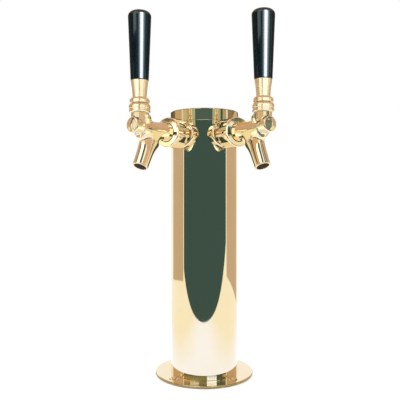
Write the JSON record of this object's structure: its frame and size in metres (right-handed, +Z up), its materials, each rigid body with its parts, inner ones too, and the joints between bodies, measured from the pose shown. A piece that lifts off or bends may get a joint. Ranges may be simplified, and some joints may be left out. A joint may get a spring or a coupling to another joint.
{
  "type": "beer tower dispenser",
  "caption": "Tall round polished column on a round base flange, with angled lever taps near the top for dispensing draught beer.",
  "frame": {"origin": "at the counter's surface, under the middle of the tower's bounding box, which is 21.1 mm in front of the column's axis", "axes": "+Z up along the column, -Y towards the user whom the taps face, +X to that user's right; the column's axis is at x = 0, y = +21.1 mm"},
  "size_m": [0.147, 0.1522, 0.3851],
  "materials": {
    "polished_brass": "mirror polished",
    "black_plastic": "gloss",
    "black_rubber": "matt",
    "white_nylon": "satin",
    "plain_steel": "turned"
  },
  "bodies": {
    "tower": {"base_gasket": "black_rubber", "base_flange": "polished_brass", "column_tube": "polished_brass", "left_saddle_flange": "polished_brass", "left_shank": "polished_brass", "left_backing_washer": "plain_steel", "left_lock_nut": "plain_steel", "left_hose_elbow": "plain_steel", "left_coupling_gasket": "black_rubber", "left_coupling_nut": "polished_brass", "left_tap_body": "polished_brass", "left_ball_washer": "black_rubber", "left_friction_washer": "white_nylon", "left_bonnet": "polished_brass", "right_saddle_flange": "polished_brass", "right_shank": "polished_brass", "right_backing_washer": "plain_steel", "right_lock_nut": "plain_steel", "right_hose_elbow": "plain_steel", "right_coupling_gasket": "black_rubber", "right_coupling_nut": "polished_brass", "right_tap_body": "polished_brass", "right_ball_washer": "black_rubber", "right_friction_washer": "white_nylon", "right_bonnet": "polished_brass"},
    "left_handle": {"left_lever": "plain_steel", "left_lever_collar": "polished_brass", "left_handle_ferrule": "polished_brass", "left_handle_grip": "black_plastic"},
    "left_valve": {"left_valve_shaft": "plain_steel", "left_seat_washer": "black_rubber"},
    "right_handle": {"right_lever": "plain_steel", "right_lever_collar": "polished_brass", "right_handle_ferrule": "polished_brass", "right_handle_grip": "black_plastic"},
    "right_valve": {"right_valve_shaft": "plain_steel", "right_seat_washer": "black_rubber"},
    "cap": {"top_cap": "polished_brass"}
  },
  "joints": [
    {"name": "left_handle_tilt", "type": "hinge", "parent": "tower", "child": "left_handle", "pos_m": [-0.06101, -0.06288, 0.2848], "axis": [0.809, -0.5878, 0], "range_deg": [0, 24]},
    {"name": "left_valve_slide", "type": "slide", "parent": "tower", "child": "left_valve", "axis": [0.5878, 0.809, 0], "range_m": [0, 0.00651]},
    {"name": "right_handle_tilt", "type": "hinge", "parent": "tower", "child": "right_handle", "pos_m": [0.06101, -0.06288, 0.2848], "axis": [0.809, 0.5878, 0], "range_deg": [0, 24]},
    {"name": "right_valve_slide", "type": "slide", "parent": "tower", "child": "right_valve", "axis": [-0.5878, 0.809, 0], "range_m": [0, 0.00651]},
    {"name": "cap_lift", "type": "slide", "parent": "tower", "child": "cap", "axis": [0, 0, 1], "range_m": [0, 0.03]}
  ],
  "couplings": [
    {"joint": "left_valve_slide", "follows": "left_handle_tilt", "m_per_rad": 0.015536},
    {"joint": "right_valve_slide", "follows": "right_handle_tilt", "m_per_rad": 0.015536}
  ]
}
